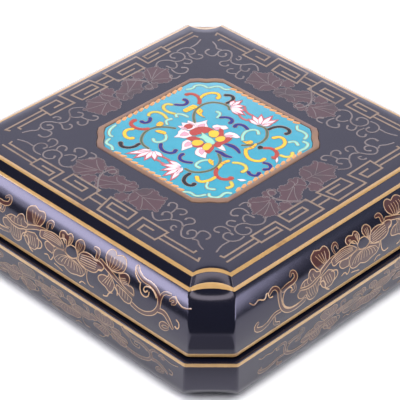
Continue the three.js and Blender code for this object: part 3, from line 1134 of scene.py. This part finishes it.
sideBloom = [
    [(1.4, 12.6), (2.6, 10.6), (5.2, 10), (7.6, 11), (8.6, 13), (6.8, 14.6), (4.2, 14.8), (2.2, 14.2)],
]
sideFills = [
    [(1.5, 12, 1), (0.2, 9.4), (-3.4, 10, 1), (-4.2, 7.6), (-2.4, 6.3), (0.2, 7, 1), (2, 5.9), (3.8, 8),
     (3.2, 10.2, 1)],
    [(6.4, 9.9, 1), (5.9, 7.6), (8, 5.8), (10.4, 7), (10.9, 9.2), (9.4, 11.2), (8.4, 12.6, 1)],
    [(1, 14, 1), (-3.4, 15), (-4.8, 17.4), (-4, 20.2), (-1.2, 21.3), (1.6, 20.6, 1), (5.4, 21.9),
     (9.2, 21, 1), (12.6, 20), (14.2, 16.6), (10.6, 15.2), (8, 14, 1), (4.8, 15.2)],
    [(1, 13.4, 1), (-1.6, 10.9), (-6, 9.6), (-11, 10.2), (-14.6, 11.6, 1), (-14, 14.2), (-10.6, 14),
     (-6, 14.6), (-2, 14.2)],
    [(-5, 14.9, 1), (-10.4, 15), (-9.8, 17.4), (-5.6, 18.4, 1)],
    [(9, 13.6, 1), (10, 10.6), (13.8, 9.2), (18, 9.9, 1), (21.6, 9.8), (23.5, 11.4), (21.2, 12.9, 1),
     (19.8, 15), (15.6, 16), (11, 15.4)],
    [(25, 9.2, 1), (22.5, 6.2), (22.9, 2.9), (25.4, 2), (27.2, 3.4, 1), (30.4, 2.3), (33.2, 4.4),
     (33.4, 7.6), (30.6, 9.6, 1), (27.6, 9.9)],
    [(31.6, 9.6, 1), (34.6, 8), (37.4, 9), (37.8, 11.6, 1), (40.8, 12), (42, 14.3, 1), (38, 13.8),
     (34, 12.4)],
    [(26.4, 11.4, 1), (26.8, 13.4, 1), (23, 14.4), (21.8, 16.6), (24.4, 18, 1), (26.4, 18.4),
     (28.6, 19.5), (30.6, 17.8), (31, 15, 1), (28.6, 12.8)],
    [(32, 14.2, 1), (31.8, 16.2, 1), (34.2, 18), (37.4, 19.4, 1), (40.4, 18.8), (41.4, 16.2, 1),
     (38.4, 15.4)],
    [(-34.6, 14.4, 1), (-32.4, 12.8), (-29, 12.7, 1), (-28, 10.8), (-25.8, 10.2), (-24, 12.2, 1),
     (-22, 13.4), (-25.6, 15), (-30, 15.6)],
    [(-22, 12.6, 1), (-24.4, 9), (-24.6, 6), (-21.6, 4, 1), (-18.6, 4.9, 1), (-15.6, 4.4), (-14.2, 7.4),
     (-15.4, 10.4, 1), (-18.4, 11.4)],
    [(-34.6, 15.4, 1), (-36.6, 16.6), (-35, 19.2), (-31.8, 18.8, 1), (-30.8, 21.6), (-27.4, 22.8),
     (-24.8, 21, 1), (-24, 17.6), (-22, 16), (-27, 16.8), (-31, 16.6)],
    [(-22.4, 15.8, 1), (-22.8, 18.6), (-19.4, 22), (-16.2, 22, 1), (-14.2, 19.4), (-14.6, 16.2),
     (-17.2, 14.4, 1)],
]
sideBands = [
    [(41.4, 18.3), (46, 19), (51, 17.8), (54.6, 14.6), (55, 10.6), (52.4, 7.6), (48.6, 6.2), (44.6, 6.2),
     (41, 5), (38.6, 3)],
    [(55.6, 14), (58.6, 13.6), (61.6, 15), (64.6, 17.6, 0.7)],
    [(55.8, 13, 0.7), (55, 9.6, 0.8), (55.8, 6.6, 0.8), (59, 5.6, 0.6)],
    [(15.6, 5.6, 0.7), (17.8, 5.9), (18.6, 8.9)],
    [(62.4, 17.8, 0.6), (59.6, 17.9, 0.9), (58.4, 19.6, 0.9), (60.6, 20.2, 0.7), (62.6, 18.9, 0.4)],
    [(59.6, 7.7, 0.6), (61.2, 6.3, 0.9), (62.4, 7.4, 0.8), (61, 8.6, 0.5)],
    [(-32.6, 20.6), (-38, 21.6), (-43, 20.6), (-46, 17.4), (-46.4, 13.6), (-46, 9.6), (-48, 8, 0.8),
     (-51.4, 9.4, 0.6)],
    [(-46.8, 18.6, 0.7), (-50.6, 18.6, 0.8), (-55, 20.8), (-59.4, 21, 1.2), (-61.6, 19.2),
     (-60, 17.6, 0.6)],
    [(-50.4, 20, 0.5), (-50.6, 22.6, 0.9), (-48, 24, 0.8)],
    [(-44, 11), (-40.6, 10.2), (-37.4, 10), (-35, 8.4), (-36, 6.2, 0.7), (-38, 7.4, 0.5)],
    [(-40, 13.4, 0.5), (-37.6, 13.6, 0.7), (-37, 11.4, 0.6)],
    [(-11.6, 9.4, 0.5), (-11.8, 6.8, 0.7), (-9.6, 6, 0.7), (-9.2, 8.4, 0.4)],
    [(20.6, 9), (27, 10.9, 1), (34, 13.1, 0.7), (41.6, 14.9, 0.3)],
    [(-35.4, 14.9, 0.4), (-30, 16, 0.7), (-25, 15.4, 0.9), (-20, 13, 1), (-15, 11.2, 0.9),
     (-10, 10.4, 0.5)],
]
sideLines = [
    [(53, 9.8), (50.4, 7.9), (47.4, 7.7), (45.8, 9), (46.6, 10.2), (47.8, 9.4, 1.5)],
    [(43.3, 7.7), (44.2, 10.5), (46.6, 12), (48.9, 11), (48.8, 9.4)],
    [(61.4, 5.2), (64.6, 7), (67.6, 7.2), (70.6, 6)], [(38, 3.4), (39.6, 6.2), (42.8, 8)],
    [(65.6, 13.2), (67.4, 14.2), (67.2, 16.4), (65.8, 16.2, 1.4)],
    [(15.2, 16.4), (15.6, 20), (17.4, 22.2), (19.6, 22, 1.4)],
    [(11, 24.2), (12.6, 22.6), (14.6, 22.8)], [(25.4, 23, 1.3), (27.6, 22.2), (28.8, 20), (30.4, 19.2)],
    [(23.4, 11.4), (22.6, 12.8), (20.9, 13.2)], [(31.4, 16), (32.6, 16.4), (33.2, 18.8)],
    [(-61.8, 8), (-60, 9.6), (-57, 8.9), (-54, 10), (-51.6, 8.4), (-51.4, 10.4), (-49.6, 10.8)],
    [(-39.6, 13.6), (-39, 12), (-41.2, 11.3), (-44.2, 13.2), (-45, 16), (-43, 19), (-39, 20.4), (-34, 20)],
    [(-23.4, 18.6), (-22, 17.6), (-20.4, 18.6), (-19.8, 22), (-17.6, 23.6, 1.4)],
    [(-15.6, 16), (-12.6, 16.8), (-12.4, 19), (-15, 20.6)],
    [(-10, 21), (-8, 20.4), (-6.4, 22), (-5, 20)], [(-4, 22.6), (-2, 23), (1, 23.8)],
]
veinFans = [
    # the lines of the fan, then for each point along a line its x and y and their steps to the next line
    (range(-5, 5), (4.6, 15.4, -0.55, 0), (4.4, 17, -1.5, 0), (4, 19.4, -1.9, 0)),
    (range(3), (0.6, 11, 0, 0), (-1, 9.2, -0.5, 0), (-1.6, 7.8, -0.5, 0)),
    (range(3), (2.2, 10.6, 0, 0), (1.8, 8.6, 0.5, 0), (1.6, 7.2, 0.6, 0)),
    (range(3), (8.2, 11.6, 0, 0), (7.6, 9.4, 0.8, 0), (7.4, 7.4, 0.9, 0)),
    (range(4), (-1.6, 13, 0, -0.4), (-6, 12.8, 0, -0.8), (-12.4, 13.2, 0, -0.7)),
    (range(5), (10.4, 14.6, 0, -0.8), (14.6, 14.6, 0, -1.05), (19.4, 13.8, 0, -0.9)),
    (range(5), (26, 9.6, 0.7, 0), (25.4, 7, 1.6, 0), (25, 4.6, 1.6, 0)),
    (range(4), (32, 11.2, 1, 0.4), (34.2, 10.4, 1, 0.5), (35.6, 10, 1, 0.7)),
    (range(4), (27, 12.4, 0.7, 0.4), (25.6, 15, 1.1, 0), (24.4, 17, 1.4, 0)),
    (range(4), (34, 15, 1.6, 0), (34.4, 16.4, 1.5, 0), (34.4, 17.8, 1.6, 0)),
    (range(4), (-19, 11, 0.5, 0), (-20.8, 8.4, 1.3, 0), (-22, 6.2, 1.8, 0)),
    (range(4), (-32, 15.2, 2.2, -0.2), (-32.2, 14.2, 2, -0.4), (-31.6, 13.6, 1.8, -0.5)),
    (range(5), (-31.4, 17.2, 1.4, 0), (-31, 19.2, 1.4, 0), (-29.8, 21.2, 1.2, 0)),
    (range(4), (-21, 16.4, 1.3, 0), (-20.6, 18.2, 1.4, 0), (-19.4, 20.4, 1.2, 0)),
]
sideVeins = [[(x + dx * k, y + dy * k) for x, y, dx, dy in fan] for lines, *fan in veinFans for k in lines]
sideLayers = [
    # name, lines, width, thickness, height above the lacquer, closed, steps along each stretch, sides
    ("flower_edges", sideFills + sideBloom, 0.42, 0.03, 0.04, True, 4, 4),
    ("flower_veins", sideVeins, 0.25, 0.03, 0.035, False, 3, 2),     # the back and left stay plainer
    ("scroll_edges", sideBands, 2.1, 0.02, 0.01, False, 4, 4),
    ("scroll_wash", sideBands, 1.4, 0.02, 0.035, False, 4, 4),
    ("scroll_lines", sideLines, 0.55, 0.03, 0.04, False, 4, 4),
]
sideSize = {
    "washThick": 0.02,
    "washLift": 0.012,
    "rounded": (-26, -1.5),      # the heights over which a wash is sliced
    "seed": 11,
    # how tall a drawing is against the one for the lid, where it starts, and how wide its lines are
    "lid": (1.0, 0.0, 1.0),
    "base": (0.6, -0.6, 0.75),
}


def drawSide(part, surface, line):
    tall, start, strength = sideSize[part]
    wash = paint["side_wash"]

    def hung(shapes):
        return [[(x, start - y * tall, *extra) for x, y, *extra in shape] for shape in shapes]

    piece = drawShapes(f"{part}_flower_wash", hung(sideFills), sideSize["washThick"])
    sliceAcross(*sideSize["rounded"])
    layOn(piece, surface, sideSize["washLift"], wash, seed=sideSize["seed"])
    for name, shapes, width, thick, lift, closed, steps, sides in sideLayers:
        piece = drawStrokes(f"{part}_{name}", hung(shapes), width * strength, thick, closed, steps)
        colour = wash if name == "scroll_wash" else line
        layOn(piece, surface, lift, colour, sides=sides, seed=sideSize["seed"])


print("side flowers")
drawSide("lid", onLidSide, paint["scroll_line"])
drawSide("base", onBaseSide, paint["base_line"])


# Studio: a pale floor and backdrop, a card that darkens one reflection as a painted dark reflection, and
# the lamps

studio = {
    "floor": (6, 6),
    "backdrop": (6, 3),
    "backdropAt": (-2.1, 2.1, 1.5),
    "card": (0.09, 0.583),
    "cardAt": (0.2889, -0.2889, 0.0005),
    "world": ((0.9, 0.93, 1, 1), 0.12),
    "aim": (0, 0, 0.03),         # where the lamps point
}
lamps = [
    # name, azimuth and elevation (0 is +X and 90 is +Y), distance, size, brightness, colour, mirrored, roll
    ("overhead", 90, 89, 1.4, (1.0, 1.0), 4.6, (1, 1, 1), False, 0),
    ("far_panel", 132, 39, 1.7, (1.7, 0.66), 1.2, (0.88, 0.87, 1), True, 0),
    ("far_low_panel", 135, 16, 1.7, (3.0, 0.7), 2.6, (0.9, 0.88, 1), True, 0),
    ("right_panel", 51, 43, 1.6, (0.66, 0.5), 1.7, (0.88, 0.87, 1), True, 0),
    ("right_low_panel", 49, 22, 1.4, (0.5, 0.3), 0.5, (0.7, 0.8, 1), True, 0),
    ("left_softbox", 232, 23.5, 1.3, (0.72, 0.26), 7.5, (0.86, 0.84, 1), True, 0),
    ("left_softbox_edge", 232, 21, 1.32, (0.84, 0.46), 3.2, (0.84, 0.83, 1), True, 0),
    ("near_strip", 22.2, 17, 1.3, (0.46, 0.5), 7, (0.84, 0.84, 1), True, -20),
    ("corner_panel", 315, 74, 1.5, (2.2, 0.4), 3.6, (1, 0.94, 0.9), True, 0),
    ("front_fill", 275, 55, 1.4, (0.9, 0.9), 3.8, (1, 1, 1), False, 0),
    ("side_fill", 355, 55, 1.4, (0.9, 0.9), 3.8, (1, 1, 1), False, 0),
]


def stagePlane(name, material, size, location, rotation=(0, 0, 0), hiddenFrom=()):
    bpy.ops.mesh.primitive_plane_add(size=1, location=location, rotation=rotation)
    plane = bpy.context.object
    plane.name = name
    plane.scale = (*size, 1)
    bpy.ops.object.transform_apply(location=False, rotation=False, scale=True)
    plane.data.materials.append(material)
    for rays in hiddenFrom:
        setattr(plane, f"visible_{rays}", False)


def areaLight(name, azimuth, elevation, distance, size, brightness, colour, mirrored, roll):
    a, e = math.radians(azimuth), math.radians(elevation)
    away = Vector((math.cos(a) * math.cos(e), math.sin(a) * math.cos(e), math.sin(e)))
    bpy.ops.object.light_add(type="AREA", location=away * distance + Vector(studio["aim"]))
    lamp = bpy.context.object
    lamp.name = name
    turn = away.to_track_quat("Z", "Y").to_matrix() @ Matrix.Rotation(math.radians(roll), 3, "Z")
    lamp.rotation_euler = turn.to_euler()
    lamp.data.shape = "RECTANGLE"
    lamp.data.size, lamp.data.size_y = size
    lamp.data.energy = brightness * math.pi * size[0] * size[1]
    lamp.data.color = colour
    lamp.visible_glossy = mirrored      # the fill lamps leave no highlight of their own


def makeStudio():
    diagonal = math.radians(45)
    stagePlane("floor", floorFinish(), studio["floor"], (0, 0, 0))
    stagePlane("backdrop", floorFinish(), studio["backdrop"], studio["backdropAt"],
               (math.pi / 2, 0, diagonal), ("glossy",))
    # the card is seen only in the near corner's reflection, where it paints a dark reflection; the camera,
    # diffuse light and shadows pass it by
    stagePlane("dark_reflection_card", cardFinish(), studio["card"], studio["cardAt"], (0, 0, diagonal),
               ("camera", "diffuse", "shadow"))
    world = bpy.data.worlds.new("studio")
    bpy.context.scene.world = world
    world.use_nodes = True
    colour, strength = studio["world"]
    world.node_tree.nodes["Background"].inputs[0].default_value = colour
    world.node_tree.nodes["Background"].inputs[1].default_value = strength
    bpy.context.scene.view_settings.view_transform = "Standard"
    for lamp in lamps:
        areaLight(*lamp)


print("studio")
makeStudio()
